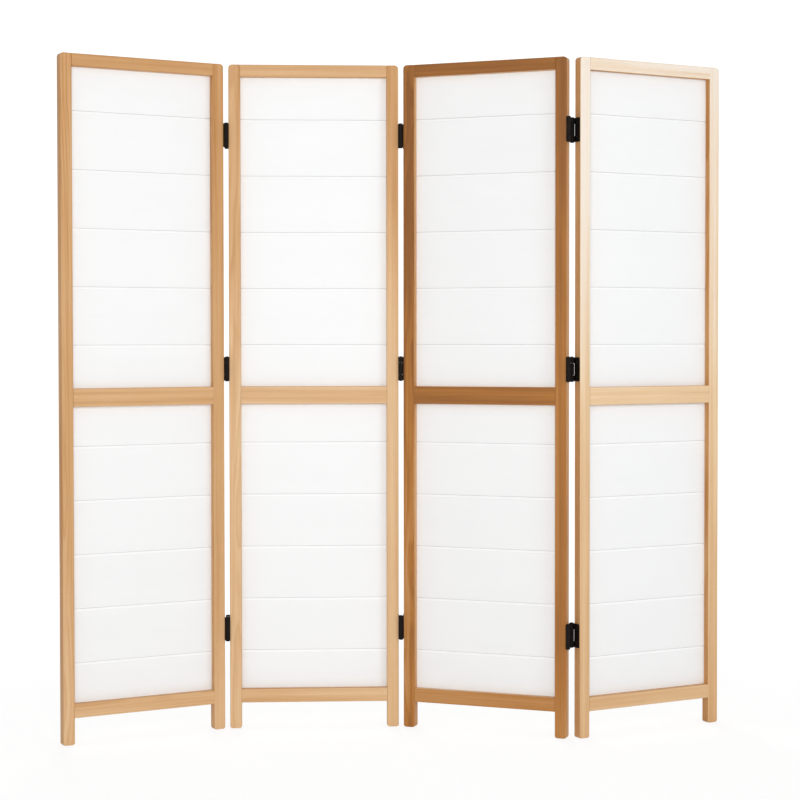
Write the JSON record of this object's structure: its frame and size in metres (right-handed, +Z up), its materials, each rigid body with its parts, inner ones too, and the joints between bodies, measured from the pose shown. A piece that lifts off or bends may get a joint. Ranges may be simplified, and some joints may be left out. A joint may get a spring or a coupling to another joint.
{
  "type": "folding screen",
  "caption": "Free-standing folding room divider of framed panels with white horizontal boards, on leg stiles, joined by double-action hinges that fold either way.",
  "frame": {"origin": "on the floor, below the middle of the opened screen's length and depth", "axes": "+X to the right along the screen, +Y to its back, +Z up"},
  "size_m": [1.6694, 0.298, 1.7],
  "materials": {
    "wood": "satin clear-finished light softwood",
    "boards": "matt white paint on wooden boards",
    "hinges": "black enamel",
    "screws": "black enamel"
  },
  "bodies": {
    "panel_1": {"left_stile_1": "wood", "right_stile_1": "wood", "top_rail_1": "wood", "mid_rail_1": "wood", "bottom_rail_1": "wood", "upper_boards_1": "boards", "lower_boards_1": "boards", "hinge_screws_1": "screws", "front_leaf_1_low": "hinges", "front_leaf_1_mid": "hinges", "front_leaf_1_top": "hinges"},
    "link_1": {"link_1_low": "hinges", "link_1_mid": "hinges", "link_1_top": "hinges"},
    "panel_2": {"left_stile_2": "wood", "right_stile_2": "wood", "top_rail_2": "wood", "mid_rail_2": "wood", "bottom_rail_2": "wood", "upper_boards_2": "boards", "lower_boards_2": "boards", "hinge_screws_2": "screws", "back_leaf_1_low": "hinges", "back_leaf_1_mid": "hinges", "back_leaf_1_top": "hinges", "front_leaf_2_low": "hinges", "front_leaf_2_mid": "hinges", "front_leaf_2_top": "hinges"},
    "link_2": {"link_2_low": "hinges", "link_2_mid": "hinges", "link_2_top": "hinges"},
    "panel_3": {"left_stile_3": "wood", "right_stile_3": "wood", "top_rail_3": "wood", "mid_rail_3": "wood", "bottom_rail_3": "wood", "upper_boards_3": "boards", "lower_boards_3": "boards", "hinge_screws_3": "screws", "back_leaf_2_low": "hinges", "back_leaf_2_mid": "hinges", "back_leaf_2_top": "hinges", "front_leaf_3_low": "hinges", "front_leaf_3_mid": "hinges", "front_leaf_3_top": "hinges"},
    "link_3": {"link_3_low": "hinges", "link_3_mid": "hinges", "link_3_top": "hinges"},
    "panel_4": {"left_stile_4": "wood", "right_stile_4": "wood", "top_rail_4": "wood", "mid_rail_4": "wood", "bottom_rail_4": "wood", "upper_boards_4": "boards", "lower_boards_4": "boards", "hinge_screws_4": "screws", "back_leaf_3_low": "hinges", "back_leaf_3_mid": "hinges", "back_leaf_3_top": "hinges"}
  },
  "joints": [
    {"name": "front_pin_1", "type": "hinge", "parent": "link_1", "child": "panel_1", "pos_m": [-0.43535, 0.05649, 0.257], "axis": [0, 0, 1], "range_deg": [-26, 152]},
    {"name": "back_pin_1", "type": "hinge", "parent": "panel_2", "child": "link_1", "pos_m": [-0.43679, 0.08946, 0.257], "axis": [0, 0, 1], "range_deg": [-178, 0]},
    {"name": "front_pin_2", "type": "hinge", "parent": "panel_2", "child": "link_2", "pos_m": [0.00922, 0.0759, 0.257], "axis": [0, 0, 1], "range_deg": [-154, 24]},
    {"name": "back_pin_2", "type": "hinge", "parent": "link_2", "child": "panel_3", "pos_m": [0.02132, 0.1066, 0.257], "axis": [0, 0, 1], "range_deg": [0, 178]},
    {"name": "front_pin_3", "type": "hinge", "parent": "panel_3", "child": "link_3", "pos_m": [0.42326, -0.08719, 0.257], "axis": [0, 0, -1], "range_deg": [0, 178]},
    {"name": "back_pin_3", "type": "hinge", "parent": "link_3", "child": "panel_4", "pos_m": [0.43535, -0.05649, 0.257], "axis": [0, 0, -1], "range_deg": [-128, 50]}
  ]
}
